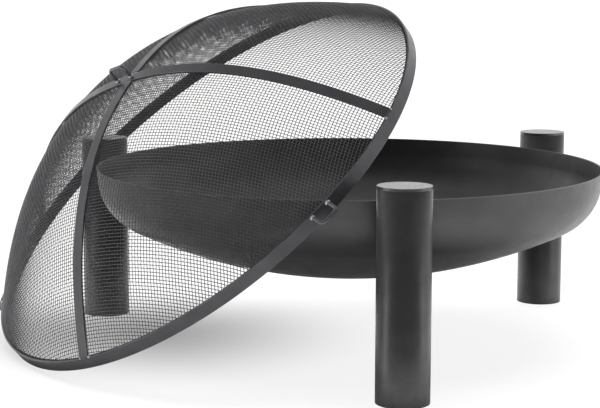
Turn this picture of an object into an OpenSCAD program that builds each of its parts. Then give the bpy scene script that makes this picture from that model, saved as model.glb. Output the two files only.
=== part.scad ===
// Steel fire bowl on three tube legs, with a lift-off domed spark screen that
// leans over its rim. Millimetres, +Z up. The origin is the point on the
// ground under the centre of the bowl.

/* [Bowl] */
// Outer diameter at the rim
bowl_d = 800; // [760:1:840]
// Height of the rim above the ground
rim_z = 274; // [262:1:286]
// Sheet thickness
bowl_t = 3; // [2:0.5:4]
// Outer radius of the shallow bottom
crown_r = 806; // [760:1:880]
// Outer radius of the bend between bottom and wall
knuckle_r = 83; // [70:1:95]
// Height of the straight wall above the bend, along its slope
wall_len = 25; // [15:1:35]
// Inward lean of the wall
wall_lean = 6.8; // [3:0.1:10]

/* [Legs] */
// Outer diameter of the leg tubes
leg_d = 76.1; // [60.3:0.1:88.9]
// Wall thickness of the leg tubes
leg_t = 2.9; // [2:0.1:4]
// Overall height of a leg with its cap
leg_h = 300; // [290:1:320]
// Thickness of the cap on top of a leg
cap_t = 4; // [3:0.5:6]
// Thickness of the disc that closes the foot of a leg
foot_t = 4; // [3:0.5:6]
// Direction of the front leg from the centre of the bowl
leg_az = -81.6; // [-90:0.1:-75]

/* [Spark screen] */
// Outer diameter of the flat-bar band
band_d = 781; // [770:1:790]
// Width of the flat bar
band_w = 20; // [15:1:25]
// Thickness of the flat bar
band_t = 3; // [2:0.5:4]
// Height of the dome above the band
dome_h = 187.5; // [180:0.5:195]
// Fullness of the dome, where 2 is a parabola
dome_power = 2.2; // [2.1:0.05:2.4]
// Overall thickness of the woven wire
mesh_t = 2; // [1.6:0.1:2.4]
// Tilt of the leaning screen from level
lean = 41.07; // [40:0.01:42]
// Direction that the dome faces, in plan
lean_az = -151.16; // [-153:0.01:-149]
// Centre of the band in plan
screen_xy = [-225, -70.9];
// Gap between the band and the ground under it
ground_gap = 0.3; // [0.2:0.1:1]

/* [Straps and loops] */
// Width of the flat-bar straps
strap_w = 19; // [15:1:22]
// Thickness of the straps
strap_t = 3; // [2:0.5:4]
// Direction of the long strap, and its distance from the dome's centre
long_strap = [26.1, 2.3];
// Direction of the halved strap, and its distance from the dome's centre
halved_strap = [294.15, 19.6];
// Place of the crown loop's middle along the long strap
crown_loop_s = 6.5; // [0:0.5:20]
// Reach of the crown loop from its feet to the middle of its bar
crown_reach = 22; // [18:1:26]
// Places of the lifting loops round the band
loop_az = [359, 235, 117];
// Diameter of the loops' round bar
loop_d = 5.5; // [5:0.5:7]
// Distance between the two feet of a loop
loop_w = 30; // [26:1:36]
// Reach of a loop on the band from its feet to the middle of its bar
loop_reach = 20; // [18:1:26]
// Bend radius of a loop's corners
loop_bend = 7; // [6:1:9]
// Droop of the loops on the band, below straight out
loop_droop = 30; // [0:1:40]

/* [Hidden] */
$fn = 96;

charcoal = [0.24, 0.24, 0.25];
cap_grey = [0.42, 0.42, 0.43];
wire_grey = [0.30, 0.30, 0.31];
bead_grey = [0.50, 0.50, 0.50];

bowl_r = bowl_d / 2;
leg_r = leg_d / 2;
// The weld fills this gap between a leg's tube and the outside of the rim.
weld_gap = 0.2;
leg_place = bowl_r + leg_r + weld_gap;
band_r = band_d / 2;
band_in_r = band_r - band_t;
// The middle of the mesh's thickness, where it passes inside the band.
dome_r = band_in_r - mesh_t / 2;
screen_z = band_r * sin(lean) + ground_gap;
// The mesh's hem and the ring that clamps it stop short of the open edge.
hem_z = 4;
clamp_z = 6;
clamp_w = 12;
clamp_t = 2;
// The straps lie this far off the mesh.
lay_gap = 0.5;
// The half straps stop this far from the long strap, and weld fills the gap.
butt_gap = 1;
dome_steps = 36;
// Radius of a weld bead, and how far the beads at the loops' feet stand proud.
weld_r = 3.5;
bead_lift = 1;

// ---- Bowl ----

// Centre of the bend's circle and of the bottom's circle, as [radius, height].
wall_in = [-cos(wall_lean), sin(wall_lean)];
wall_down = [-sin(wall_lean), -cos(wall_lean)];
knuckle_c = [bowl_r, rim_z] + wall_len * wall_down + knuckle_r * wall_in;
crown_c = [0, knuckle_c[1] + sqrt(pow(crown_r - knuckle_r, 2) - pow(knuckle_c[0], 2))];

// Half section of the bowl filled in to the rim, set in by a thickness.
module bowl_section(inset) {
    wall_foot = knuckle_c - (knuckle_r - inset) * wall_in;
    to_knuckle = (knuckle_c - crown_c) / norm(knuckle_c - crown_c);
    intersection() {
        translate([0, crown_c[1] - crown_r - 1])
            square([bowl_r + 1, rim_z - crown_c[1] + crown_r + 1]);
        union() {
            intersection() {
                translate(crown_c) circle(crown_r - inset);
                polygon([crown_c, crown_c + 1.2 * crown_r * to_knuckle,
                         crown_c - [0, 1.2 * crown_r]]);
            }
            translate(knuckle_c) circle(knuckle_r - inset);
            polygon([[0, knuckle_c[1]], knuckle_c, wall_foot,
                     wall_foot - 2 * wall_len * wall_down, [0, rim_z + wall_len]]);
        }
    }
}

module bowl() {
    color(charcoal) rotate_extrude()
        difference() {
            bowl_section(0);
            bowl_section(bowl_t);
        }
}

// ---- Legs ----

// Puts its children at leg number i, with +X away from the bowl.
module at_leg(i) rotate([0, 0, leg_az + 120 * i]) translate([leg_place, 0, 0]) children();

module leg_tube(i) {
    color(charcoal) at_leg(i) difference() {
        cylinder(r = leg_r, h = leg_h - cap_t);
        translate([0, 0, -1]) cylinder(r = leg_r - leg_t, h = leg_h + 2);
    }
}

module leg_cap(i) {
    color(cap_grey) at_leg(i) translate([0, 0, leg_h - cap_t]) cylinder(r = leg_r, h = cap_t);
}

module foot_disc(i) {
    color(charcoal) at_leg(i) cylinder(r = leg_r - leg_t, h = foot_t);
}

// Two upright beads in the grooves between the rim and the tube.
module leg_welds(i) {
    bead_h = 16;
    side = 13;
    back = leg_r - 2.2;
    color(bead_grey) at_leg(i) for (s = [-1, 1])
        translate([-back, s * side, rim_z - bead_h - weld_r - 1]) {
            cylinder(r = weld_r, h = bead_h);
            translate([0, 0, bead_h]) sphere(weld_r);
            sphere(weld_r);
        }
}

// ---- Spark screen ----

// Puts its children in the leaning screen, with +Z out of the crown of the dome.
module on_screen() {
    translate([screen_xy[0], screen_xy[1], screen_z])
        rotate([0, lean, lean_az]) rotate([0, 0, 90]) children();
}

// Height of the mesh's middle above the band's open edge, at a radius.
function dome_z(r) = band_w + dome_h * (1 - pow(r / dome_r, dome_power));
// Slope of the mesh there.
function dome_slope(r) = -dome_h * dome_power * pow(r / dome_r, dome_power - 1) / dome_r;
// A point on the dome's section moved out by a thickness, square to the mesh.
function dome_point(r, out) = let (m = dome_slope(r), k = out / sqrt(1 + m * m))
    [r - k * m, dome_z(r) + k];

module screen_band() {
    color(charcoal) on_screen() difference() {
        cylinder(r = band_r, h = band_w);
        translate([0, 0, -1]) cylinder(r = band_in_r, h = band_w + 2);
    }
}

module mesh_dome() {
    radii = [for (i = [0 : dome_steps]) dome_r * i / dome_steps];
    outside = [for (r = radii) if (dome_point(r, mesh_t / 2)[0] < band_in_r) dome_point(r, mesh_t / 2)];
    inside = [for (r = radii) dome_point(r, -mesh_t / 2)];
    color(wire_grey) on_screen() rotate_extrude()
        polygon(concat(
            [[0, dome_z(0) + mesh_t / 2]],
            [for (i = [1 : len(outside) - 1]) outside[i]],
            [[band_in_r, band_w], [band_in_r, hem_z], [band_in_r - mesh_t, hem_z]],
            [[band_in_r - mesh_t, dome_z(dome_r) - mesh_t]],
            [for (i = [dome_steps - 1 : -1 : 1]) inside[i]],
            [[0, dome_z(0) - mesh_t / 2]]));
}

module mesh_clamp_ring() {
    color(charcoal) on_screen() translate([0, 0, clamp_z]) difference() {
        cylinder(r = band_in_r - mesh_t, h = clamp_w);
        translate([0, 0, -1]) cylinder(r = band_in_r - mesh_t - clamp_t, h = clamp_w + 2);
    }
}

// Section of a strap that stands off the dome's centre, between two distances
// along it, with its ends cut flush with the band.
module strap_section(off, from, to) {
    run = [for (i = [0 : 2 * dome_steps]) -(band_r + 6) + (band_r + 6) * i / dome_steps];
    // Height and slope along the strap, as on the dome but at this distance off.
    function rad(s) = sqrt(s * s + off * off);
    function lift(s, out) = let (m = dome_slope(rad(s)) * s / rad(s), k = out / sqrt(1 + m * m))
        [s - k * m, dome_z(rad(s)) + k];
    low = mesh_t / 2 + lay_gap;
    intersection() {
        polygon(concat([for (s = run) lift(s, low + strap_t)],
                       [for (i = [len(run) - 1 : -1 : 0]) lift(run[i], low)]));
        translate([from, band_w]) square([to - from, dome_h + 10 * strap_t]);
    }
}

module strap_bar(place, from, to) {
    color(charcoal) on_screen() rotate([0, 0, place[0]]) translate([0, place[1], 0])
        rotate([90, 0, 0]) linear_extrude(strap_w, center = true)
            strap_section(place[1], from, to);
}

// Distance along the halved strap at which it meets the long one.
strap_turn = halved_strap[0] - long_strap[0];
meet = (long_strap[1] - halved_strap[1] * cos(strap_turn)) / sin(strap_turn);
half_gap = strap_w / 2 + butt_gap;

module long_strap_bar() strap_bar(long_strap, -band_r, band_r);
module near_strap_bar() strap_bar(halved_strap, meet + half_gap, band_r);
module far_strap_bar() strap_bar(halved_strap, -band_r, meet - half_gap);

// ---- Lifting loops ----

// A loop in the XZ plane: two feet on the X axis, its bar parallel to X.
module loop(reach = loop_reach) {
    arm = reach - loop_bend;
    half_bar = loop_w / 2 - loop_bend;
    r = loop_d / 2;
    for (s = [0, 1]) mirror([s, 0, 0]) {
        translate([loop_w / 2, 0, 0]) cylinder(r = r, h = arm);
        translate([half_bar, 0, arm]) rotate([90, 0, 0])
            rotate_extrude(angle = 90) translate([loop_bend, 0]) circle(r);
    }
    translate([-half_bar, 0, reach]) rotate([0, 90, 0]) cylinder(r = r, h = 2 * half_bar);
}

// The loop's plane holds the direction round the band and leans out from it.
module at_band_loop(i) {
    on_screen() rotate([0, 0, loop_az[i]])
        translate([band_r, 0, band_w - loop_d / 2 - 1]) rotate([0, 0, 90])
            rotate([90 + loop_droop, 0, 0]) children();
}

// Distance along the long strap at which the halved strap meets it.
cross_s = (halved_strap[1] - long_strap[1] * cos(strap_turn)) / -sin(strap_turn);

// A place on top of the long strap, a distance along it.
module at_crown(s) {
    top = dome_z(norm([s, long_strap[1]])) + mesh_t / 2 + lay_gap + strap_t;
    on_screen() rotate([0, 0, long_strap[0]]) translate([s, long_strap[1], top]) children();
}

module crown_loop() color(charcoal) at_crown(crown_loop_s) loop(crown_reach);
module band_loop(i) color(charcoal) at_band_loop(i) loop();

// ---- Weld beads of the screen ----

// Distance along a strap at which its end stands on the band.
function strap_end(place) = sqrt(pow(band_r - band_t / 2, 2) - pow(place[1], 2));

// A row of small beads at both edges of a strap's end.
module end_beads(place, side) {
    on_screen() rotate([0, 0, place[0]])
        translate([side * strap_end(place), place[1], band_w])
            for (s = [-1, 1]) translate([0, s * strap_w / 2, 0]) sphere(2.5);
}

module strap_welds() {
    color(bead_grey) {
        end_beads(long_strap, 1);
        end_beads(long_strap, -1);
        end_beads(halved_strap, 1);
        end_beads(halved_strap, -1);
        // Beads in the two butt joints at the crown.
        for (s = [-1, 1]) at_crown(cross_s) rotate([0, 0, strap_turn])
            translate([s * half_gap, 0, -strap_t + 0.7])
                rotate([90, 0, 0]) cylinder(r = 1.6, h = strap_w - 2, center = true);
    }
}

// One bead round each foot of a loop, mostly proud of the bar it stands on.
module foot_beads() for (s = [-1, 1]) translate([s * loop_w / 2, 0, bead_lift]) sphere(weld_r);

module loop_welds() {
    color(bead_grey) {
        at_crown(crown_loop_s) foot_beads();
        for (i = [0 : 2]) at_band_loop(i) foot_beads();
    }
}

bowl();
leg_tube(0);  // front_leg_tube
leg_tube(1);  // right_leg_tube
leg_tube(2);  // left_leg_tube
leg_cap(0);  // front_leg_cap
leg_cap(1);  // right_leg_cap
leg_cap(2);  // left_leg_cap
foot_disc(0);  // front_foot_disc
foot_disc(1);  // right_foot_disc
foot_disc(2);  // left_foot_disc
leg_welds(0);  // front_leg_welds
leg_welds(1);  // right_leg_welds
leg_welds(2);  // left_leg_welds
screen_band();
mesh_dome();
mesh_clamp_ring();
long_strap_bar();
near_strap_bar();
far_strap_bar();
crown_loop();
band_loop(0);  // front_loop
band_loop(1);  // left_loop
band_loop(2);  // back_loop
strap_welds();
loop_welds();
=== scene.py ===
"""Steel fire bowl on three tube legs, with a domed mesh spark screen that leans over its rim.

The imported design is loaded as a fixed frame. Each piece is a surface worked out with numpy
around that frame, with a procedural material, and rides on the body it belongs to.
"""

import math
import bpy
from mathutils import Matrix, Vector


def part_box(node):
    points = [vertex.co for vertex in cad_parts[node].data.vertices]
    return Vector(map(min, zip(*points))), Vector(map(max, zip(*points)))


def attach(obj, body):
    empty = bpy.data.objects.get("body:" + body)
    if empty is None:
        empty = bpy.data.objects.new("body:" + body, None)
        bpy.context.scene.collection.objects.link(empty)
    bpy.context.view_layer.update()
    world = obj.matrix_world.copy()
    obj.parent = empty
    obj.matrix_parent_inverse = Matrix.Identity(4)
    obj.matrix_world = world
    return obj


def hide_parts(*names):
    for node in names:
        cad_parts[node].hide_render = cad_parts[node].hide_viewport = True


bl_info = {
    "name": "Fire bowl with spark screen",
    "version": (1, 0, 0),
    "blender": (4, 5, 0),
    "location": "View3D > Sidebar > Fire bowl",
    "description": "Builds a steel fire bowl with a lift-off woven wire spark screen",
    "category": "Add Mesh",
}

import bpy
import numpy as np
from bpy.props import FloatProperty, FloatVectorProperty, IntProperty, PointerProperty
from mathutils import Matrix, Vector

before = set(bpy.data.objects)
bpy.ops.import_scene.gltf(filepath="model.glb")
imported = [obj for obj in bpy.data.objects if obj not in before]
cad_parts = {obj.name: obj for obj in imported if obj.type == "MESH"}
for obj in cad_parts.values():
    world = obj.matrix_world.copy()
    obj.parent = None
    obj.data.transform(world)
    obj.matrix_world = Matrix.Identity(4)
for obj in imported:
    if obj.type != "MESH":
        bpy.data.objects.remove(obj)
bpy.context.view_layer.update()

MM = 0.001
PIT = "fire_pit"
SCREEN = "spark_screen"
LEGS = ("front", "right", "left")
CLAMP_LOW = 6.0 * MM
CLAMP_HIGH = 18.0 * MM
CLAMP_THICKNESS = 2.0 * MM
LEG_BEAD = 3.5 * MM
LEG_BEAD_DEPTH = 2.2 * MM
FOOT_ROUNDING = 0.4 * MM
FLOOR_HALF = 60.0


# ---- Colour and property helpers ----


def linear(hex_colour):
    """Linear RGB of an sRGB colour: below 0.04045 it's divided by 12.92, above by the 2.4 power law."""
    srgb = [int(hex_colour[i : i + 2], 16) / 255 for i in (1, 3, 5)]
    return tuple(c / 12.92 if c <= 0.04045 else ((c + 0.055) / 1.055) ** 2.4 for c in srgb)


def length(name, text, default):
    """A length property in metres."""
    return FloatProperty(name=name, description=text, default=default, min=0.0, unit="LENGTH", precision=5)


def angle(name, text, degrees):
    """An angle property, given in degrees and kept in radians."""
    return FloatProperty(
        name=name, description=text, default=math.radians(degrees), subtype="ANGLE", unit="ROTATION"
    )


def tint(name, text, hex_colour):
    """A colour property."""
    return FloatVectorProperty(
        name=name, description=text, default=linear(hex_colour), subtype="COLOR", min=0.0, max=1.0
    )


def box_size(node):
    """The three sides of a CAD node's box."""
    low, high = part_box(node)
    return [high[i] - low[i] for i in range(3)]


def box_middle(node):
    """The centre of a CAD node's box."""
    low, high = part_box(node)
    return [(high[i] + low[i]) / 2 for i in range(3)]


class FireBowlSizes(bpy.types.PropertyGroup):
    rim_radius: length("Rim radius", "Outer radius of the bowl at its rim", box_size("bowl")[0] / 2)
    rim_height: length("Rim height", "Height of the rim above the ground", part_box("bowl")[1][2])
    sheet: length("Sheet", "Thickness of the steel sheet", 3.0 * MM)
    crown_radius: length("Bottom radius", "Outer radius of the shallow bottom", 806.0 * MM)
    bend_radius: length("Bend radius", "Outer radius of the bend between bottom and wall", 83.0 * MM)
    wall: length("Wall", "Height of the straight wall above the bend, along its slope", 25.0 * MM)
    wall_lean: angle("Wall lean", "Inward lean of the wall from upright", 6.8)
    rounding: length("Edge rounding", "Radius of the ground edge of the rim", 0.7 * MM)


class LegSizes(bpy.types.PropertyGroup):
    radius: length("Radius", "Outer radius of the leg tubes", box_size("front_leg_tube")[0] / 2)
    tube_wall: length("Tube wall", "Wall thickness of the leg tubes", 2.9 * MM)
    rounding: length("Edge rounding", "Radius of the upper edge of the caps", 0.4 * MM)
    bead_spread: length("Bead spread", "Distance of a weld bead from the leg's middle line", 13.0 * MM)
    ripple: length("Ripple", "Distance between the ripples of a weld bead", 2.2 * MM)


class SparkScreenSizes(bpy.types.PropertyGroup):
    radius: length("Band radius", "Outer radius of the rolled band", 390.5 * MM)
    band_width: length("Band width", "Width of the rolled flat bar", 20.0 * MM)
    band_thickness: length("Band thickness", "Thickness of the rolled flat bar", 3.0 * MM)
    dome_height: length("Dome height", "Height of the dome above the band", 187.5 * MM)
    fullness: FloatProperty(
        name="Fullness", description="Power of the dome's curve, where 2 is a parabola", default=2.2, min=2.0
    )
    mesh_thickness: length("Mesh thickness", "Overall thickness of the woven wire", 2.0 * MM)
    lean: angle("Lean", "Tilt of the screen from level", 41.07)
    facing: angle("Facing", "Direction that the dome faces, in plan", -151.16)
    strap_width: length("Strap width", "Width of the flat-bar straps", 19.0 * MM)
    strap_thickness: length("Strap thickness", "Thickness of the straps", 3.0 * MM)
    strap_lift: length("Strap lift", "Gap between the mesh and a strap", 0.5 * MM)
    long_turn: angle("Long strap", "Direction of the long strap on the screen", 26.1)
    long_offset: length("Long strap offset", "Distance of the long strap from the dome's centre", 2.3 * MM)
    halved_turn: angle("Halved strap", "Direction of the halved strap on the screen", 294.15)
    halved_offset: length("Halved strap offset", "Distance of the halved strap from the centre", 19.6 * MM)
    butt_gap: length("Butt gap", "Gap between the long strap and a half strap, filled by weld", 1.0 * MM)
    rounding: length("Edge rounding", "Radius of the edges of the flat bars", 0.7 * MM)


class WireSizes(bpy.types.PropertyGroup):
    pitch: length("Pitch", "Distance between neighbouring wires of the weave", 5.0 * MM)
    wire: length("Wire", "Diameter of the wire", 1.1 * MM)
    hem: length("Hem", "Height of the hem above the open edge of the band", 4.0 * MM)
    groups: IntProperty(
        name="Groups", description="Pieces that each set of wires is split into", default=3, min=1
    )


class LoopSizes(bpy.types.PropertyGroup):
    bar: length("Bar", "Diameter of the round bar", 5.5 * MM)
    width: length("Width", "Distance between the two feet of a loop", 30.0 * MM)
    reach: length("Reach", "Reach of a band loop from its feet to the middle of its bar", 20.0 * MM)
    crown_reach: length("Crown reach", "Reach of the crown loop from its feet to its bar", 22.0 * MM)
    crown_place: length("Crown place", "Place of the crown loop's middle along the long strap", 6.5 * MM)
    bend: length("Bend", "Bend radius of the corners", 7.0 * MM)
    droop: angle("Droop", "Droop of the band's loops below straight out", 30.0)
    front_turn: angle("Front loop", "Place of the front loop round the band", 359.0)
    left_turn: angle("Left loop", "Place of the left loop round the band", 235.0)
    back_turn: angle("Back loop", "Place of the back loop round the band", 117.0)


class FireBowlFinish(bpy.types.PropertyGroup):
    bowl: tint("Bowl", "Heat-resistant paint of the bowl", "#4A4A4B")
    legs: tint("Legs", "Paint of the leg tubes", "#545455")
    # Painted highlight: the caps' colour is a little lighter than the legs' paint, for the light their tops
    # catch.
    caps: tint("Caps", "Paint of the cap discs", "#58585A")
    bars: tint("Bars", "Paint of the band and straps", "#4C4C4F")
    wire: tint("Wire", "Paint of the woven wire", "#646466")
    # Painted highlight: the loops' colour is lighter than the bars' paint, for the light the loops catch from
    # above.
    loops: tint("Loops", "Paint of the loops", "#6E6E71")
    beads: tint("Beads", "Thinly covered weld beads", "#C4C4C4")
    # Painted highlight and thinner paint: this lighter colour on the rounded edges stands in both for steel
    # showing through and for the light the edges catch.
    worn_and_highlit: tint("Worn edge", "Steel that shows where paint has rubbed thin", "#98989A")


SETTINGS = {
    "fire_bowl_sizes": FireBowlSizes,
    "fire_leg_sizes": LegSizes,
    "spark_screen_sizes": SparkScreenSizes,
    "screen_wire_sizes": WireSizes,
    "lifting_loop_sizes": LoopSizes,
    "fire_bowl_finish": FireBowlFinish,
}


# ---- Putting arrays into meshes ----


def volume(points, faces):
    """Signed volume: the sum over each face's fan of triangles of a . (b x c) / 6."""
    total = 0.0
    for group in faces:
        first = points[group[:, 0]]
        for i in range(1, group.shape[1] - 1):
            second = points[group[:, i]]
            third = points[group[:, i + 1]]
            total += float(np.einsum("ij,ij->i", first, np.cross(second, third)).sum()) / 6
    return total


def make_piece(name, parts, material, body, stands_for):
    """Joins closed surfaces into one smooth mesh object. Each part is (points, faces, edge marks), where
    faces is a list of index arrays and the edge marks are 1 on rounded edges, which get thinner paint and a
    painted highlight. A part that is inside out is turned round."""
    points, wear_and_highlight, corners, sides = [], [], [], []
    base = 0
    for part_points, part_faces, part_wear_and_highlight in parts:
        turned = volume(part_points, part_faces) < 0
        for group in part_faces:
            group = group[:, ::-1] if turned else group
            corners.append((group + base).ravel())
            sides.append(np.full(len(group), group.shape[1]))
        points.append(part_points)
        wear_and_highlight.append(np.broadcast_to(part_wear_and_highlight, len(part_points)))
        base += len(part_points)
    points, wear_and_highlight, corners, sides = (np.concatenate(a) for a in (points, wear_and_highlight, corners, sides))
    mesh = bpy.data.meshes.new(name)
    mesh.vertices.add(len(points))
    mesh.vertices.foreach_set("co", points.astype(np.float32).ravel())
    mesh.loops.add(len(corners))
    mesh.loops.foreach_set("vertex_index", corners.astype(np.int32))
    mesh.polygons.add(len(sides))
    mesh.polygons.foreach_set("loop_start", (np.cumsum(sides) - sides).astype(np.int32))
    mesh.polygons.foreach_set("use_smooth", np.ones(len(sides), dtype=bool))
    mesh.update(calc_edges=True)
    mesh.attributes.new("wear_and_highlight", "FLOAT", "POINT").data.foreach_set("value", wear_and_highlight.astype(np.float32))
    mesh.materials.append(material)
    piece = bpy.data.objects.new(name, mesh)
    bpy.context.scene.collection.objects.link(piece)
    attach(piece, body)
    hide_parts(*stands_for)


def grid_quads(rows, columns, wrap_rows, wrap_columns):
    """The four corners of each cell of a grid of rows x columns points, which may wrap either way."""
    r = np.arange(rows if wrap_rows else rows - 1)[:, None]
    c = np.arange(columns if wrap_columns else columns - 1)[None, :]
    r2 = (r + 1) % rows
    c2 = (c + 1) % columns
    cells = [r * columns + c, r * columns + c2, r2 * columns + c2, r2 * columns + c]
    return np.stack(np.broadcast_arrays(*cells), axis=-1).reshape(-1, 4)


def fan(hub, ring):
    """Triangles from one point to each step of a closed ring."""
    return np.stack([np.full(len(ring), hub), ring, np.roll(ring, -1)], axis=-1)


def capped_tube(points, wear_and_highlight):
    """A closed surface from a grid of stations x section points: the sections are joined round and
    along, and each end is closed by a fan to its own middle."""
    stations, around = points.shape[:2]
    flat = points.reshape(-1, 3)
    total = len(flat)
    ends = np.stack([points[0].mean(axis=0), points[-1].mean(axis=0)])
    first = np.arange(around)
    last = first + (stations - 1) * around
    faces = [
        grid_quads(stations, around, False, True),
        np.concatenate([fan(total, first[::-1]), fan(total + 1, last)]),
    ]
    wear_and_highlight = np.concatenate([np.broadcast_to(wear_and_highlight, points.shape[:2]).ravel(), [0.0, 0.0]])
    return np.concatenate([flat, ends]), faces, wear_and_highlight


# ---- Profiles ----


def rounded_profile(corners, radii, closed, steps=4):
    """Rounds the corners of a flat outline. Each corner C between its neighbours A and B becomes the
    curve (1-t)^2 P + 2t(1-t) C + t^2 Q, where P and Q lie the corner's radius from C towards A and B.
    A further point half a radius outside P and Q keeps the shading of the flats flat. Returns the
    points and 1 where a point is on a rounded corner."""
    corners = np.asarray(corners, dtype=float)
    count = len(corners)
    points, worn_and_highlit = [], []
    t = np.linspace(0, 1, steps + 1)[:, None]
    for i, corner in enumerate(corners):
        is_end = not closed and i in (0, count - 1)
        if radii[i] == 0 or is_end:
            points.append(corner[None])
            worn_and_highlit.append([0.0])
            continue
        before = corners[i - 1] - corner
        after = corners[(i + 1) % count] - corner
        before /= np.linalg.norm(before)
        after /= np.linalg.norm(after)
        p, q = corner + radii[i] * before, corner + radii[i] * after
        arc = (1 - t) ** 2 * p + 2 * t * (1 - t) * corner + t**2 * q
        keep = 0.5 * radii[i]
        points.append(np.concatenate([[p + keep * before], arc, [q + keep * after]]))
        worn_and_highlit.append([0.0] + [1.0] * len(arc) + [0.0])
    return np.concatenate(points), np.concatenate(worn_and_highlit)


def lathe(profile, worn_and_highlit, steps, centre=(0.0, 0.0, 0.0)):
    """Turns a profile of (radius, height) round the upright axis through centre:
    x = r cos a, y = r sin a, z = h. A profile that starts and ends on the axis gets a single point
    at each pole, and any other is a closed ring."""
    turn = np.linspace(0, 2 * np.pi, steps, endpoint=False)
    has_poles = profile[0, 0] == 0 and profile[-1, 0] == 0
    rings = profile[1:-1] if has_poles else profile
    ring_wear_and_highlight = worn_and_highlit[1:-1] if has_poles else worn_and_highlit
    points = np.stack(
        [
            rings[:, :1] * np.cos(turn),
            rings[:, :1] * np.sin(turn),
            np.broadcast_to(rings[:, 1:], (len(rings), steps)),
        ],
        axis=-1,
    )
    wear_and_highlight = np.repeat(ring_wear_and_highlight, steps)
    flat = points.reshape(-1, 3)
    faces = [grid_quads(len(rings), steps, not has_poles, True)]
    if has_poles:
        first = np.arange(steps)
        last = first + (len(rings) - 1) * steps
        faces.append(np.concatenate([fan(len(flat), first[::-1]), fan(len(flat) + 1, last)]))
        flat = np.concatenate([flat, [[0, 0, profile[0, 1]], [0, 0, profile[-1, 1]]]])
        wear_and_highlight = np.concatenate([wear_and_highlight, [0.0, 0.0]])
    return flat + np.asarray(centre), faces, wear_and_highlight


def moved(part, matrix):
    """A part with its points multiplied by a 4 x 4 matrix."""
    points, faces, wear_and_highlight = part
    return points @ matrix[:3, :3].T + matrix[:3, 3], faces, wear_and_highlight


def turn_z(radians):
    """A 4 x 4 turn about the Z axis."""
    return np.array(Matrix.Rotation(radians, 4, "Z"))


def shift(x, y, z):
    """A 4 x 4 shift."""
    return np.array(Matrix.Translation((x, y, z)))


# ---- Materials ----


def add(tree, kind, settings=None, links=None, **properties):
    """Adds a node. settings gives socket values by name, links gives sockets by name, and the rest are
    the node's own properties."""
    node = tree.nodes.new(kind)
    for name, value in properties.items():
        setattr(node, name, value)
    for name, value in (settings or {}).items():
        node.inputs[name].default_value = value
    for name, socket in (links or {}).items():
        tree.links.new(socket, node.inputs[name])
    return node


def scaled(colour, factor):
    """A colour made lighter or darker."""
    return tuple(min(1.0, c * factor) for c in colour)


def painted_steel(name, colour, worn_and_highlit, roughness, mottle, grain, grain_depth, wear_and_highlight_share):
    """Steel under heat-resistant silicone paint, rolled or sprayed on and cured by the first fires.
    The eye gets a dark, even satin grey whose sheen varies a little from place to place (mottle, in
    metres), a fine sprayed grain (grain, in metres) and lighter rounded edges, partly thinner paint and
    partly a painted highlight for the light the edges catch."""
    material = bpy.data.materials.new(name)
    material.use_nodes = True
    tree = material.node_tree
    tree.nodes.clear()
    where = add(tree, "ShaderNodeTexCoord").outputs["Object"]
    cloud, scuff, spray = (
        add(
            tree,
            "ShaderNodeTexNoise",
            settings={"Scale": 1 / size, "Detail": detail, "Roughness": harshness},
            links={"Vector": where},
        )
        for size, detail, harshness in ((mottle, 5.0, 0.6), (0.4 * mottle, 4.0, 0.7), (grain, 2.0, 0.5))
    )
    tone = add(tree, "ShaderNodeValToRGB", links={"Fac": cloud.outputs["Fac"]})
    for element, place, factor in zip(tone.color_ramp.elements, (0.35, 0.65), (0.88, 1.14)):
        element.position = place
        element.color = (*scaled(colour, factor), 1.0)
    # Painted highlight and thinner paint: the lighter edge colour is mixed in on the rounded edges, broken up
    # by noise.
    edge = add(tree, "ShaderNodeAttribute", attribute_name="wear_and_highlight")
    rubbed_and_highlit = add(
        tree,
        "ShaderNodeMath",
        operation="MULTIPLY",
        links={0: edge.outputs["Fac"], 1: scuff.outputs["Fac"]},
    )
    share = add(
        tree,
        "ShaderNodeMapRange",
        settings={"From Min": 0.3, "From Max": 0.75, "To Max": wear_and_highlight_share},
        links={"Value": rubbed_and_highlit.outputs["Value"]},
    )
    cover = add(
        tree,
        "ShaderNodeMix",
        data_type="RGBA",
        links={0: share.outputs["Result"], 6: tone.outputs["Color"]},
    )
    cover.inputs[7].default_value = (*worn_and_highlit, 1.0)
    sheen = add(
        tree,
        "ShaderNodeMapRange",
        settings={"From Min": 0.3, "From Max": 0.7, "To Min": roughness - 0.05, "To Max": roughness + 0.06},
        links={"Value": scuff.outputs["Fac"]},
    )
    relief = add(
        tree,
        "ShaderNodeBump",
        settings={"Strength": 0.5, "Distance": grain_depth},
        links={"Height": spray.outputs["Fac"]},
    )
    shader = add(
        tree,
        "ShaderNodeBsdfPrincipled",
        settings={"Metallic": 0.6},
        links={
            "Base Color": cover.outputs[2],
            "Roughness": sheen.outputs["Result"],
            "Normal": relief.outputs["Normal"],
        },
    )
    add(tree, "ShaderNodeOutputMaterial", links={"Surface": shader.outputs["BSDF"]})
    return material


# ---- Bowl ----


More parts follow.
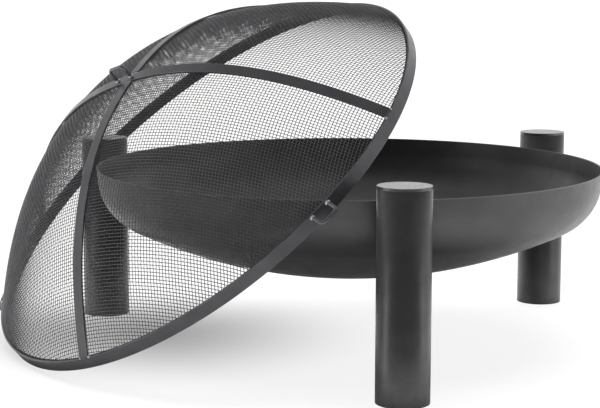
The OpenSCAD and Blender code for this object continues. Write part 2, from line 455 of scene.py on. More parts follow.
def bowl_wall(sizes, inset, steps):
    """One face of the bowl, from the axis to the rim, set in by a thickness. The bottom is an arc
    (R sin a, Z - R cos a) about a centre on the axis, the bend is an arc of the same form about its own
    centre, tangent to the bottom, and the wall is a straight line that leans in."""
    lean = sizes.wall_lean
    rim = np.array([sizes.rim_radius, sizes.rim_height])
    inward = np.array([-math.cos(lean), math.sin(lean)])
    downward = np.array([-math.sin(lean), -math.cos(lean)])
    bend = rim + sizes.wall * downward + sizes.bend_radius * inward
    apart = sizes.crown_radius - sizes.bend_radius
    crown_z = bend[1] + math.sqrt(apart**2 - bend[0] ** 2)
    join = math.atan2(bend[0], crown_z - bend[1])
    bottom = np.linspace(0, join, steps)
    bottom_r = sizes.crown_radius - inset
    knuckle = np.linspace(join, math.pi / 2 - lean, steps)[1:]
    knuckle_r = sizes.bend_radius - inset
    top_slip = inset / math.cos(lean)
    top = np.array([[sizes.rim_radius - top_slip, sizes.rim_height]])
    return np.concatenate(
        [
            np.stack([bottom_r * np.sin(bottom), crown_z - bottom_r * np.cos(bottom)], axis=-1),
            np.stack([bend[0] + knuckle_r * np.sin(knuckle), bend[1] - knuckle_r * np.cos(knuckle)], axis=-1),
            top,
        ]
    )


class FIREBOWL_OT_bowl(bpy.types.Operator):
    """Builds the pressed steel bowl"""

    bl_idname = "fire_bowl.bowl"
    bl_label = "Fire bowl"

    def execute(self, context):
        sizes = context.scene.fire_bowl_sizes
        finish = context.scene.fire_bowl_finish
        outer = bowl_wall(sizes, 0.0, 48)
        inner = bowl_wall(sizes, sizes.sheet, 48)
        corners = np.concatenate([outer, inner[::-1]])
        radii = np.zeros(len(corners))
        radii[[len(outer) - 1, len(outer)]] = sizes.rounding
        profile, worn_and_highlit = rounded_profile(corners, radii, closed=False)
        # Pressed 3 mm sheet: a smooth broad satin, with a sheen that changes over a hand's width.
        # The paint's own grain of 0.3 mm is drawn at 1.6 mm, as fine as it shows.
        paint = painted_steel(
            "Heat-resistant satin paint on pressed sheet",
            finish.bowl, finish.worn_and_highlit, 0.40, 70 * MM, 1.6 * MM, 0.02 * MM, 0.5,
        )
        make_piece("fire_bowl", [lathe(profile, worn_and_highlit, 256)], paint, PIT, ["bowl"])
        return {"FINISHED"}


# ---- Legs ----


def disc_profile(radius, low, high, rounding):
    """Section of a flat disc with rounded edges, from the axis underneath to the axis on top."""
    corners = [(0, low), (radius, low), (radius, high), (0, high)]
    return rounded_profile(corners, [0, 0.1 * MM, rounding, 0], closed=False)


def weld_run(radius, height, ripple, steps=24):
    """An upright weld bead: a capsule whose radius swells at each ripple, as
    r (0.91 + 0.09 |cos(pi z / ripple)|), and closes as a half circle at each end."""
    z = np.linspace(-radius, height + radius, max(16, int(6 * height / ripple)))
    beyond = np.maximum(np.maximum(-z, z - height), 0) / radius
    swell = 0.91 + 0.09 * np.abs(np.cos(np.pi * z / ripple))
    r = radius * np.sqrt(np.maximum(1 - beyond**2, 0)) * swell
    r[[0, -1]] = 0
    profile = np.stack([r, z], axis=-1)
    return lathe(profile, np.zeros(len(profile)), steps)


class FIREBOWL_OT_legs(bpy.types.Operator):
    """Builds the three tube legs with their caps, foot discs and weld beads"""

    bl_idname = "fire_bowl.legs"
    bl_label = "Legs"

    def execute(self, context):
        sizes = context.scene.fire_leg_sizes
        finish = context.scene.fire_bowl_finish
        # Drawn tube: smoother along its length than the sheet, with a slightly closer sheen.
        tube_paint = painted_steel(
            "Heat-resistant satin paint on drawn tube",
            finish.legs, finish.worn_and_highlit, 0.36, 45 * MM, 1.5 * MM, 0.02 * MM, 0.35,
        )
        # The caps were ground flush after welding, so their paint lies thin and flat. It is also a little
        # lighter than the tubes' paint, a painted highlight for the light the cap tops catch.
        cap_paint = painted_steel(
            "Heat-resistant satin paint on ground plate",
            finish.caps, finish.worn_and_highlit, 0.29, 30 * MM, 1.5 * MM, 0.015 * MM, 0.1,
        )
        bead_paint = weld_finish(finish)
        for leg in LEGS:
            x, y, _ = box_middle(f"{leg}_leg_tube")
            low, high = (corner[2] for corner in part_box(f"{leg}_leg_tube"))
            inner = sizes.radius - sizes.tube_wall
            ring = [(inner, low), (sizes.radius, low), (sizes.radius, high), (inner, high)]
            profile, worn_and_highlit = rounded_profile(ring, [0.3 * MM, 0.5 * MM, 0.0, 0.0], closed=True)
            tube = lathe(profile, worn_and_highlit, 128, (x, y, 0))
            make_piece(f"{leg}_tube", [tube], tube_paint, PIT, [f"{leg}_leg_tube"])

            low, high = (corner[2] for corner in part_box(f"{leg}_leg_cap"))
            profile, worn_and_highlit = disc_profile(sizes.radius, low, high, sizes.rounding)
            cap = lathe(profile, worn_and_highlit, 128, (x, y, 0))
            make_piece(f"{leg}_cap_disc", [cap], cap_paint, PIT, [f"{leg}_leg_cap"])

            low, high = (corner[2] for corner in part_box(f"{leg}_foot_disc"))
            profile, worn_and_highlit = disc_profile(inner, low, high, FOOT_ROUNDING)
            foot = lathe(profile, worn_and_highlit, 96, (x, y, 0))
            make_piece(f"{leg}_foot_plate", [foot], tube_paint, PIT, [f"{leg}_foot_disc"])

            self.weld_beads(leg, x, y, sizes, bead_paint)
        return {"FINISHED"}

    def weld_beads(self, leg, x, y, sizes, paint):
        """Two rippled beads in the grooves where the tube meets the rim, inside the CAD beads' box."""
        low, high = (corner[2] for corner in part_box(f"{leg}_leg_welds"))
        inward = -np.array([x, y]) / math.hypot(x, y)
        across = np.array([-inward[1], inward[0]])
        groove = sizes.radius - LEG_BEAD_DEPTH
        beads = []
        for side in (-1, 1):
            place = np.array([x, y]) + groove * inward + side * sizes.bead_spread * across
            bead = weld_run(LEG_BEAD, high - low - 2 * LEG_BEAD, sizes.ripple)
            beads.append(moved(bead, shift(place[0], place[1], low + LEG_BEAD)))
        make_piece(f"{leg}_leg_beads", beads, paint, PIT, [f"{leg}_leg_welds"])


# ---- Spark screen ----


def screen_matrix(sizes):
    """From the screen's own frame, with +Z out of the crown and the open edge at zero, to the row frame.
    The band's box is centred on the middle of its width."""
    turned = (
        Matrix.Rotation(sizes.facing, 4, "Z")
        @ Matrix.Rotation(sizes.lean, 4, "Y")
        @ Matrix.Rotation(math.pi / 2, 4, "Z")
    )
    to_row = np.array(turned)
    to_row[:3, 3] = np.array(box_middle("screen_band")) - to_row[:3, 2] * sizes.band_width / 2
    return to_row


def dome_radius(sizes):
    """Radius of the middle of the mesh where it passes inside the band."""
    return sizes.radius - sizes.band_thickness - sizes.mesh_thickness / 2


def dome_height_at(sizes, r):
    """Height of the dome's middle surface: width of the band + H (1 - (r / R)^p)."""
    return sizes.band_width + sizes.dome_height * (1 - (r / dome_radius(sizes)) ** sizes.fullness)


def dome_slope_at(sizes, r):
    """Slope of the dome: -H p (r / R)^(p-1) / R."""
    full = dome_radius(sizes)
    return -sizes.dome_height * sizes.fullness * (r / full) ** (sizes.fullness - 1) / full


class FIREBOWL_OT_band(bpy.types.Operator):
    """Builds the rolled band of the spark screen and the ring that clamps the mesh"""

    bl_idname = "fire_bowl.band"
    bl_label = "Screen band"

    def execute(self, context):
        sizes = context.scene.spark_screen_sizes
        finish = context.scene.fire_bowl_finish
        to_row = screen_matrix(sizes)
        paint = bar_finish(finish)
        inner = sizes.radius - sizes.band_thickness
        ring = [(inner, 0), (sizes.radius, 0), (sizes.radius, sizes.band_width), (inner, sizes.band_width)]
        profile, worn_and_highlit = rounded_profile(ring, [sizes.rounding] * 4, closed=True)
        band = moved(lathe(profile, worn_and_highlit, 320), to_row)
        make_piece("rolled_band", [band], paint, SCREEN, ["screen_band"])

        outer = inner - sizes.mesh_thickness
        inner = outer - CLAMP_THICKNESS
        ring = [(inner, CLAMP_LOW), (outer, CLAMP_LOW), (outer, CLAMP_HIGH), (inner, CLAMP_HIGH)]
        profile, worn_and_highlit = rounded_profile(ring, [0.5 * MM] * 4, closed=True)
        clamp = moved(lathe(profile, worn_and_highlit, 320), to_row)
        make_piece("hem_clamp_ring", [clamp], paint, SCREEN, ["mesh_clamp_ring"])
        return {"FINISHED"}


def bar_finish(finish):
    """Flat bar, hot rolled and painted: a slightly blue satin with lighter corners, partly thinner paint and
    partly a painted highlight.
    """
    return painted_steel(
        "Satin paint on hot-rolled flat bar",
        finish.bars, finish.worn_and_highlit, 0.38, 40 * MM, 1.5 * MM, 0.03 * MM, 0.6,
    )


def weld_finish(finish):
    """Weld beads under thin paint: brighter than the bars, lumpy, with small sharp glints."""
    return painted_steel(
        "Thinly painted weld bead",
        finish.beads, finish.worn_and_highlit, 0.28, 4 * MM, 1.0 * MM, 0.1 * MM, 0.0,
    )


# ---- Woven mesh ----


def dome_table(sizes, hem, steps=2400):
    """Distance along the dome's section from its crown, with radius, height and outward normal there.
    The section is the dome's curve and then the skirt, straight down inside the band to the hem."""
    r = np.linspace(0, dome_radius(sizes), steps)
    z = dome_height_at(sizes, r)
    skirt = np.linspace(z[-1], hem, steps // 20)[1:]
    r = np.concatenate([r, np.full(len(skirt), r[-1])])
    z = np.concatenate([z, skirt])
    along = np.concatenate([[0], np.cumsum(np.hypot(np.diff(r), np.diff(z)))])
    step_r, step_z = np.gradient(r, along), np.gradient(z, along)
    return along, r, z, -step_z, step_r


def cloth_net(sizes, step, count):
    """Where a woven cloth that neither stretches nor slips lies on the dome, for one quarter of it. The
    two wires through the crown follow the dome's section. Every other point (i, j) is one step from
    (i - 1, j) and one step from (i, j - 1), so the meshes lean over between the two wires, as cloth does
    on a ball. Solved for x and y by Newton's method, a diagonal i + j at a time. Returns each point's
    distance from the crown along the section, and its heading."""
    reach_r = np.linspace(0, 2 * dome_radius(sizes), 4000)
    reach_z = dome_height_at(sizes, reach_r)
    along = np.concatenate([[0], np.cumsum(np.hypot(np.diff(reach_r), np.diff(reach_z)))])
    axis = np.interp(np.arange(count + 1) * step, along, reach_r)
    net = np.zeros((count + 1, count + 1, 3))
    net[:, 0, 0] = axis
    net[0, :, 1] = axis
    net[:, 0, 2] = dome_height_at(sizes, axis)
    net[0, :, 2] = net[:, 0, 2]
    for diagonal in range(2, 2 * count + 1):
        i = np.arange(max(1, diagonal - count), min(diagonal - 1, count) + 1)
        j = diagonal - i
        a, b = net[i - 1, j], net[i, j - 1]
        point = a + b - net[i - 1, j - 1]
        for _ in range(4):
            r = np.hypot(point[:, 0], point[:, 1])
            point[:, 2] = dome_height_at(sizes, r)
            slope = dome_slope_at(sizes, r)[:, None] * point[:, :2] / r[:, None]
            to_a, to_b = point - a, point - b
            miss_a = (to_a**2).sum(axis=1) - step**2
            miss_b = (to_b**2).sum(axis=1) - step**2
            grow_a = 2 * (to_a[:, :2] + to_a[:, 2:] * slope)
            grow_b = 2 * (to_b[:, :2] + to_b[:, 2:] * slope)
            area = grow_a[:, 0] * grow_b[:, 1] - grow_a[:, 1] * grow_b[:, 0]
            point[:, 0] -= (miss_a * grow_b[:, 1] - miss_b * grow_a[:, 1]) / area
            point[:, 1] -= (miss_b * grow_a[:, 0] - miss_a * grow_b[:, 0]) / area
        point[:, 2] = dome_height_at(sizes, np.hypot(point[:, 0], point[:, 1]))
        net[i, j] = point
    distance = np.interp(np.hypot(net[..., 0], net[..., 1]), reach_r, along)
    return distance, np.arctan2(net[..., 1], net[..., 0])


def wire_set(sizes, wires, net, turn, over):
    """Points of one set of wires, as an array of wires x samples x 4 section points, and which samples
    lie on the dome. Samples are half a pitch apart, and one quarter of the net, mirrored, gives them all.
    At each crossing a wire passes over or under by its own radius: radius cos(pi b / pitch), with the
    sign changing from one wire to the next. The section is a square on its corner."""
    along, r, z, normal_r, normal_z = dome_table(sizes, wires.hem)
    reach = along[-1]
    count = (len(net[0]) - 1) // 2
    side = np.arange(-count, count + 1)[:, None]
    b = np.arange(-2 * count, 2 * count + 1)[None, :]
    distance, heading = (part[abs(b), abs(2 * side)] for part in net)
    inside = distance < reach
    heading = np.where(b < 0, np.pi - heading, heading)
    heading = np.where(side < 0, -heading, heading) + turn
    radial = np.stack([np.cos(heading), np.sin(heading)], axis=-1)
    at = [np.interp(distance, along, values) for values in (r, z, normal_r, normal_z)]
    normal = np.concatenate([radial * at[2][..., None], at[3][..., None]], axis=-1)
    radius = wires.wire / 2
    parity = np.where(np.arange(-count, count + 1) % 2 == 0, 1, -1)[:, None]
    lift = over * parity * radius * np.cos(np.pi * b / 2)
    middle = np.concatenate([radial * at[0][..., None], at[1][..., None]], axis=-1)
    middle = middle + normal * lift[..., None]
    tangent = np.gradient(middle, axis=1)
    tangent /= np.linalg.norm(tangent, axis=-1, keepdims=True)
    sideways = np.cross(tangent, normal)
    sideways /= np.linalg.norm(sideways, axis=-1, keepdims=True)
    upward = np.cross(sideways, tangent)
    section = np.stack([upward, sideways, -upward, -sideways], axis=2)
    return middle[:, :, None, :] + radius * section, inside


def wires_to_part(points, inside):
    """Joins neighbouring samples of each wire with four faces, and closes both ends of each wire."""
    rows, samples, around = points.shape[:3]
    number = np.full((rows, samples), -1)
    number[inside] = np.arange(inside.sum())
    here, after = number[:, :-1], number[:, 1:]
    joined = (here >= 0) & (after >= 0)
    here, after = here[joined] * around, after[joined] * around
    quads = []
    for k in range(around):
        k2 = (k + 1) % around
        quads.append(np.stack([here + k, here + k2, after + k2, after + k], axis=-1))
    corner = np.arange(around)
    first = inside & ~np.pad(inside, ((0, 0), (1, 0)))[:, :-1]
    last = inside & ~np.pad(inside, ((0, 0), (0, 1)))[:, 1:]
    quads.append(number[first][:, None] * around + corner[::-1])
    quads.append(number[last][:, None] * around + corner)
    return points[inside].reshape(-1, 3), [np.concatenate(quads)], 0.0


class FIREBOWL_OT_mesh(bpy.types.Operator):
    """Builds the woven wire dome, wire by wire"""

    bl_idname = "fire_bowl.mesh"
    bl_label = "Woven wire dome"

    def execute(self, context):
        sizes = context.scene.spark_screen_sizes
        wires = context.scene.screen_wire_sizes
        finish = context.scene.fire_bowl_finish
        to_row = screen_matrix(sizes)
        # Crimped steel wire under thin paint: dark, with a small glint on the crown of each crimp.
        paint = painted_steel(
            "Thin satin paint on crimped wire",
            finish.wire, finish.worn_and_highlit, 0.36, 25 * MM, 1.0 * MM, 0.01 * MM, 0.0,
        )
        # Two samples to a mesh, as far as the hem along the wires through the crown.
        count = 2 * int(dome_table(sizes, wires.hem)[0][-1] / wires.pitch)
        net = cloth_net(sizes, wires.pitch / 2, count)
        for name, turn, over in (("warp", 0.0, 1), ("weft", math.pi / 2, -1)):
            points, inside = wire_set(sizes, wires, net, sizes.long_turn + turn, over)
            for i, rows in enumerate(self.shares(inside, wires.groups)):
                part = moved(wires_to_part(points[rows], inside[rows]), to_row)
                make_piece(f"{name}_wires_{i + 1}", [part], paint, SCREEN, ["mesh_dome"])
        return {"FINISHED"}

    def shares(self, inside, groups):
        """Rows of wires in groups with about the same number of samples."""
        total = np.cumsum(inside.sum(axis=1))
        share = np.minimum(total * groups // (total[-1] + 1), groups - 1)
        return [np.flatnonzero(share == i) for i in range(groups)]


# ---- Straps ----


def strap_path(sizes, offset, start, end):
    """The lower and upper edge of a strap's section, as arrays of (distance, height). The strap runs
    straight in plan, the offset away from the dome's centre, with its lower face a small gap off the
    mesh. An end on the band stands on the band's top edge and is cut flush with its outer face."""
    s = np.linspace(start, end, 121)
    r = np.hypot(s, offset)
    slope = dome_slope_at(sizes, r) * s / np.maximum(r, 1e-9)
    height = dome_height_at(sizes, r)
    unit = np.stack([-slope, np.ones_like(s)], axis=-1) / np.sqrt(1 + slope**2)[:, None]
    middle = np.stack([s, height], axis=-1)
    low = sizes.mesh_thickness / 2 + sizes.strap_lift
    lower = middle + low * unit
    upper = middle + (low + sizes.strap_thickness) * unit
    return cut_to_band(sizes, lower), cut_to_band(sizes, upper)


def cut_to_band(sizes, edge):
    """Keeps an edge of a strap's section inside the band's outer face and above its top edge."""
    s = np.clip(edge[:, 0], -sizes.radius, sizes.radius)
    return np.stack([s, np.maximum(edge[:, 1], sizes.band_width)], axis=-1)


def flat_bar(lower, upper, width, rounding):
    """A flat bar between two edges: station i and section point (y, a) give lower + a (upper - lower),
    moved y across, where (y, a) goes round a rectangle with rounded corners."""
    thick = float(np.linalg.norm(upper[len(upper) // 2] - lower[len(lower) // 2]))
    corners = [(-width / 2, 0), (width / 2, 0), (width / 2, thick), (-width / 2, thick)]
    section, worn_and_highlit = rounded_profile(corners, [rounding] * 4, closed=True, steps=3)
    share = section[:, 1] / thick
    run = lower[:, None] + share[None, :, None] * (upper - lower)[:, None]
    y = np.broadcast_to(section[:, 0], run.shape[:2])
    points = np.stack([run[..., 0], y, run[..., 1]], axis=-1)
    return capped_tube(points, worn_and_highlit[None, :])


def strap_meeting(sizes):
    """Distance along the halved strap, and along the long strap, at which the two cross."""
    turn = sizes.halved_turn - sizes.long_turn
    on_halved = (sizes.long_offset - sizes.halved_offset * math.cos(turn)) / math.sin(turn)
    on_long = (sizes.halved_offset - sizes.long_offset * math.cos(turn)) / -math.sin(turn)
    return on_halved, on_long


class FIREBOWL_OT_straps(bpy.types.Operator):
    """Builds the long strap and the two half straps"""

    bl_idname = "fire_bowl.straps"
    bl_label = "Straps"

    def execute(self, context):
        sizes = context.scene.spark_screen_sizes
        paint = bar_finish(context.scene.fire_bowl_finish)
        to_row = screen_matrix(sizes)
        meet, _ = strap_meeting(sizes)
        half_gap = sizes.strap_width / 2 + sizes.butt_gap
        # A little past the band, where the cut makes the end.
        end = sizes.radius + 2 * MM
        runs = {
            "long_strap": (sizes.long_turn, sizes.long_offset, -end, end, "long_strap_bar"),
            "near_strap": (sizes.halved_turn, sizes.halved_offset, meet + half_gap, end, "near_strap_bar"),
            "far_strap": (sizes.halved_turn, sizes.halved_offset, -end, meet - half_gap, "far_strap_bar"),
        }
        for name, (turn, offset, start, stop, node) in runs.items():
            lower, upper = strap_path(sizes, offset, start, stop)
            bar = flat_bar(lower, upper, sizes.strap_width, sizes.rounding)
            bar = moved(bar, to_row @ turn_z(turn) @ shift(0, offset, 0))
            make_piece(name, [bar], paint, SCREEN, [node])
        return {"FINISHED"}


# ---- Lifting loops ----


def loop_path(loops, reach, steps=10):
    """Middle line of a loop in its own XZ plane: up one arm, round a quarter circle, along the bar,
    round another quarter circle and down the other arm."""
    quarter = np.linspace(0, math.pi / 2, steps)
    arm = reach - loops.bend
    half = loops.width / 2
    arc = np.stack([half - loops.bend * (1 - np.cos(quarter)), arm + loops.bend * np.sin(quarter)], axis=-1)
    foot = np.stack([np.full(6, half), np.linspace(0, arm, 6, endpoint=False)], axis=-1)
    side = np.concatenate([foot, arc])
    return np.concatenate([side, side[::-1] * [-1, 1]])


def round_bar(path, radius, around=20):
    """A round bar along a path in the XZ plane: p + r (n cos a + y sin a), with n square to the path."""
    tangent = np.gradient(path, axis=0)
    tangent /= np.linalg.norm(tangent, axis=-1, keepdims=True)
    normal = np.stack([tangent[:, 1], -tangent[:, 0]], axis=-1)
    a = np.linspace(0, 2 * np.pi, around, endpoint=False)
    flat = path[:, None, :] + radius * np.cos(a)[None, :, None] * normal[:, None, :]
    y = np.broadcast_to(radius * np.sin(a), flat.shape[:2])
    return capped_tube(np.stack([flat[..., 0], y, flat[..., 1]], axis=-1), 0.0)


def band_place(sizes, loops, turn):
    """Frame of a loop on the band: feet along the band, reaching out and drooping towards its edge."""
    height = sizes.band_width - loops.bar / 2 - 1 * MM
    facing = np.array(Matrix.Rotation(math.pi / 2 + loops.droop, 4, "X"))
    return turn_z(turn) @ shift(sizes.radius, 0, height) @ turn_z(math.pi / 2) @ facing


def crown_place(sizes, along):
    """Frame on top of the long strap, a distance along it."""
    height = dome_height_at(sizes, math.hypot(along, sizes.long_offset))
    top = height + sizes.mesh_thickness / 2 + sizes.strap_lift + sizes.strap_thickness
    return turn_z(sizes.long_turn) @ shift(along, sizes.long_offset, top)


def loop_places(sizes, loops):
    """Each loop's name with its frame in the screen's own frame."""
    return {
        "crown_loop": crown_place(sizes, loops.crown_place),
        "front_loop": band_place(sizes, loops, loops.front_turn),
        "left_loop": band_place(sizes, loops, loops.left_turn),
        "back_loop": band_place(sizes, loops, loops.back_turn),
    }


class FIREBOWL_OT_loops(bpy.types.Operator):
    """Builds the round-bar lifting loops"""

    bl_idname = "fire_bowl.loops"
    bl_label = "Lifting loops"

    def execute(self, context):
        sizes = context.scene.spark_screen_sizes
        loops = context.scene.lifting_loop_sizes
        finish = context.scene.fire_bowl_finish
        to_row = screen_matrix(sizes)
        # Drawn round bar, handled often: a closer sheen that runs along the bend.
        # Its paint is lighter than the bars', partly a painted highlight for the light from above.
        paint = painted_steel(
            "Satin paint on bent round bar",
            finish.loops, finish.worn_and_highlit, 0.22, 12 * MM, 1.2 * MM, 0.005 * MM, 0.4,
        )
        for name, place in loop_places(sizes, loops).items():
            reach = loops.crown_reach if name == "crown_loop" else loops.reach
            bar = moved(round_bar(loop_path(loops, reach), loops.bar / 2), to_row @ place)
            make_piece(f"{name}_bar", [bar], paint, SCREEN, [name])
        return {"FINISHED"}


# ---- Weld beads ----


def weld_blob(radii, lobes, turn, rows=14, columns=24):
    """A lump of weld: a ball stretched to its radii, whose radius swells by
    0.08 sin(lobes p + turn) sin^2 t + 0.05 cos(3 t + turn), from 0.95, at latitude t and longitude p."""
    t = np.linspace(0, np.pi, rows)[1:-1, None]
    p = np.linspace(0, 2 * np.pi, columns, endpoint=False)[None, :]
    swell = 0.95 + 0.08 * np.sin(lobes * p + turn) * np.sin(t) ** 2 + 0.05 * np.cos(3 * t + turn)
    ball = np.stack([np.sin(t) * np.cos(p), np.sin(t) * np.sin(p), np.cos(t) * np.ones_like(p)], axis=-1)
    return capped_tube(ball * swell[..., None] * np.asarray(radii), 0.0)


class FIREBOWL_OT_welds(bpy.types.Operator):
    """Builds the weld beads of the spark screen"""

    bl_idname = "fire_bowl.welds"
    bl_label = "Screen weld beads"

    def execute(self, context):
        sizes = context.scene.spark_screen_sizes
        loops = context.scene.lifting_loop_sizes
        paint = weld_finish(context.scene.fire_bowl_finish)
        to_row = screen_matrix(sizes)
        blobs = []
        for number, place in enumerate(loop_places(sizes, loops).values()):
            for side in (-1, 1):
                lump = weld_blob((4.2 * MM, 3.6 * MM, 3.0 * MM), 4, number + side)
                blobs.append(moved(lump, to_row @ place @ shift(side * loops.width / 2, 0, 1.0 * MM)))
        make_piece("loop_beads", blobs, paint, SCREEN, ["loop_welds"])

        blobs = []
        for turn, offset in (
            (sizes.long_turn, sizes.long_offset),
            (sizes.halved_turn, sizes.halved_offset),
        ):
            reach = math.sqrt((sizes.radius - sizes.band_thickness / 2) ** 2 - offset**2)
            for end in (-1, 1):
                for side in (-1, 1):
                    lump = weld_blob((2.6 * MM, 2.2 * MM, 2.2 * MM), 3, end + 2 * side)
                    place = shift(end * reach, offset + side * sizes.strap_width / 2, sizes.band_width)
                    blobs.append(moved(lump, to_row @ turn_z(turn) @ place))
        _, on_long = strap_meeting(sizes)
        crown = crown_place(sizes, on_long) @ turn_z(sizes.halved_turn - sizes.long_turn)
        half_gap = sizes.strap_width / 2 + sizes.butt_gap
        lie_down = np.array(Matrix.Rotation(math.pi / 2, 4, "X"))
        run_length = sizes.strap_width - 5.5 * MM
        for side in (-1, 1):
            run = weld_run(1.7 * MM, run_length, 1.8 * MM, steps=16)
            run = moved(run, shift(0, 0, -run_length / 2))
            place = shift(side * half_gap, 0, -sizes.strap_thickness + 1.1 * MM)
            blobs.append(moved(run, to_row @ crown @ place @ lie_down))
        make_piece("strap_beads", blobs, paint, SCREEN, ["strap_welds"])
        return {"FINISHED"}


# ---- Stage ----


class FIREBOWL_OT_stage(bpy.types.Operator):
    """Sets up the camera, the pale floor and the soft studio light"""

    bl_idname = "fire_bowl.stage"
    bl_label = "Studio"

    def execute(self, context):
        self.camera(context.scene)
        self.floor()
        self.lights(context.scene)
        context.scene.view_settings.view_transform = "Standard"
        return {"FINISHED"}

    def camera(self, scene):
        """A long lens from low in front, level with the top of the screen."""
        data = bpy.data.cameras.new("studio_camera")
        data.sensor_width = 36.0
        data.lens = 104.6
        camera = bpy.data.objects.new("studio_camera", data)
        camera.location = (-0.0704, -2.756, 0.6147)
        camera.rotation_euler = (math.pi / 2 - 0.1455, -0.0022, 0.0031)
        scene.collection.objects.link(camera)
        scene.camera = camera

    def floor(self):
        """A wide matt floor, nearly white."""
        half = FLOOR_HALF
        mesh = bpy.data.meshes.new("studio_floor")
        corners = [(-half, -half, 0), (half, -half, 0), (half, half, 0), (-half, half, 0)]
        mesh.from_pydata(corners, [], [(0, 1, 2, 3)])
        mesh.materials.append(self.paper())
        floor = bpy.data.objects.new("studio_floor", mesh)
        bpy.context.scene.collection.objects.link(floor)

    def paper(self):
        """Matt white paper. It gives its full light to the steel, less where it ends in front. The camera
        sees it with less contrast, almost burnt out, and with a painted shadow: darker in a soft patch
        under the screen."""
        paper = bpy.data.materials.new("Matt white studio paper")
        paper.use_nodes = True
        tree = paper.node_tree
        tree.nodes.clear()
        where = add(tree, "ShaderNodeTexCoord").outputs["Object"]
        axes = add(tree, "ShaderNodeSeparateXYZ", links={"Vector": where})
        sheet = add(
            tree,
            "ShaderNodeMapRange",
            settings={"From Min": -2.2, "From Max": -0.8, "To Min": 0.08, "To Max": 0.88},
            links={"Value": axes.outputs["Y"]},
            interpolation_type="SMOOTHSTEP",
        )
        matt = add(tree, "ShaderNodeBsdfDiffuse", links={"Color": sheet.outputs["Result"]})
        faint = add(tree, "ShaderNodeBsdfDiffuse", settings={"Color": (0.18, 0.18, 0.18, 1.0)})
        # Painted shadow: for the camera the paper's glow falls from 0.86 to 0.33 in a soft patch round
        # (-0.33, 0) under the screen.
        under = add(
            tree,
            "ShaderNodeVectorMath",
            operation="DISTANCE",
            settings={1: (-0.33, 0.0, 0.0)},
            links={0: where},
        )
        shade = add(
            tree,
            "ShaderNodeMapRange",
            settings={"From Min": 0.0, "From Max": 0.40, "To Min": 0.33, "To Max": 0.86},
            links={"Value": under.outputs["Value"]},
            interpolation_type="SMOOTHSTEP",
        )
        fill = add(tree, "ShaderNodeEmission", links={"Strength": shade.outputs["Result"]})
        bright = add(
            tree,
            "ShaderNodeAddShader",
            links={0: faint.outputs["BSDF"], 1: fill.outputs["Emission"]},
        )
        seen = add(tree, "ShaderNodeLightPath").outputs["Is Camera Ray"]
        mix = add(
            tree,
            "ShaderNodeMixShader",
            links={0: seen, 1: matt.outputs["BSDF"], 2: bright.outputs["Shader"]},
        )
        add(tree, "ShaderNodeOutputMaterial", links={"Surface": mix.outputs["Shader"]})
        return paper

    def lights(self, scene):
        """A white room that is brightest behind the object and darker above and in front, a soft light
        from overhead and two tall soft panels at the sides."""
        world = bpy.data.worlds.new("studio_room")
        scene.world = world
        world.use_nodes = True
        tree = world.node_tree
        tree.nodes.clear()
        where = add(tree, "ShaderNodeTexCoord").outputs["Generated"]
        axes = add(tree, "ShaderNodeSeparateXYZ", links={"Vector": where})
        back, low = (
            add(
                tree,
                "ShaderNodeMapRange",
                settings={"From Min": start, "From Max": stop, "To Min": first, "To Max": last},
                links={"Value": axes.outputs[axis]},
                interpolation_type="SMOOTHSTEP",
            )
            for axis, start, stop, first, last in (("Y", -0.6, 0.7, 0.12, 1.35), ("Z", 0.05, 0.95, 1.0, 0.25))
        )
        room = add(
            tree,
            "ShaderNodeMath",
            operation="MULTIPLY",
            links={0: back.outputs["Result"], 1: low.outputs["Result"]},
        )
        seen = add(tree, "ShaderNodeLightPath").outputs["Is Camera Ray"]
        strength = add(tree, "ShaderNodeMix", data_type="FLOAT", links={0: seen, 2: room.outputs["Value"]})
        strength.inputs[3].default_value = 1.0
        glow = add(
            tree,
            "ShaderNodeBackground",
            settings={"Color": (1.0, 1.0, 1.0, 1.0)},
            links={"Strength": strength.outputs[0]},
        )
        add(tree, "ShaderNodeOutputWorld", links={"Surface": glow.outputs["Background"]})

        self.overhead_light()
        self.panel("left_panel", (-2.6, -0.9, 0.8), (0.5, 1.8), 9.0)
        self.panel("right_panel", (2.5, -0.7, 0.8), (0.7, 1.8), 6.5)

    def overhead_light(self):
        """A very wide sun from above and a little behind, which gives the floor its white and the object
        its shadow, and isn't mirrored in the steel."""
        data = bpy.data.lights.new("overhead_light", "SUN")
        data.energy = 4.4
        data.angle = math.radians(60)
        light = bpy.data.objects.new("overhead_light", data)
        light.rotation_euler = (math.radians(-18), 0, 0)
        light.visible_glossy = False
        bpy.context.scene.collection.objects.link(light)

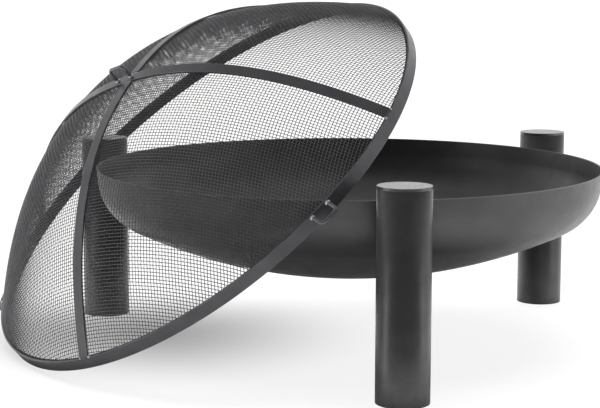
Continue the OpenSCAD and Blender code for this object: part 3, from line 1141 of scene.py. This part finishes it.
    def panel(self, name, place, size, power):
        """A rectangular soft light that faces the middle of the object."""
        data = bpy.data.lights.new(name, "AREA")
        data.shape = "RECTANGLE"
        data.size, data.size_y = size
        data.energy = power
        light = bpy.data.objects.new(name, data)
        light.location = place
        towards = Vector((0.0, 0.0, 0.25)) - Vector(place)
        light.rotation_euler = towards.to_track_quat("-Z", "Y").to_euler()
        light.visible_camera = False
        bpy.context.scene.collection.objects.link(light)


# ---- Add-on ----


class FIREBOWL_PT_panel(bpy.types.Panel):
    """Lists the steps that build the fire bowl"""

    bl_idname = "FIREBOWL_PT_panel"
    bl_label = "Fire bowl"
    bl_space_type = "VIEW_3D"
    bl_region_type = "UI"
    bl_category = "Fire bowl"

    def draw(self, context):
        for operator in OPERATORS:
            self.layout.operator(operator.bl_idname)
        for name, group in SETTINGS.items():
            box = self.layout.box()
            for key in group.__annotations__:
                box.prop(getattr(context.scene, name), key)


OPERATORS = (
    FIREBOWL_OT_stage,
    FIREBOWL_OT_bowl,
    FIREBOWL_OT_legs,
    FIREBOWL_OT_band,
    FIREBOWL_OT_mesh,
    FIREBOWL_OT_straps,
    FIREBOWL_OT_loops,
    FIREBOWL_OT_welds,
)


def register():
    for name, group in SETTINGS.items():
        bpy.utils.register_class(group)
        setattr(bpy.types.Scene, name, PointerProperty(type=group))
    for item in (*OPERATORS, FIREBOWL_PT_panel):
        bpy.utils.register_class(item)


def unregister():
    for item in (FIREBOWL_PT_panel, *reversed(OPERATORS)):
        bpy.utils.unregister_class(item)
    for name, group in reversed(SETTINGS.items()):
        delattr(bpy.types.Scene, name)
        bpy.utils.unregister_class(group)


def main():
    """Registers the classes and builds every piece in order."""
    register()
    bpy.ops.fire_bowl.stage()
    bpy.ops.fire_bowl.bowl()
    bpy.ops.fire_bowl.legs()
    bpy.ops.fire_bowl.band()
    bpy.ops.fire_bowl.mesh()
    bpy.ops.fire_bowl.straps()
    bpy.ops.fire_bowl.loops()
    bpy.ops.fire_bowl.welds()


if __name__ == "__main__":
    main()
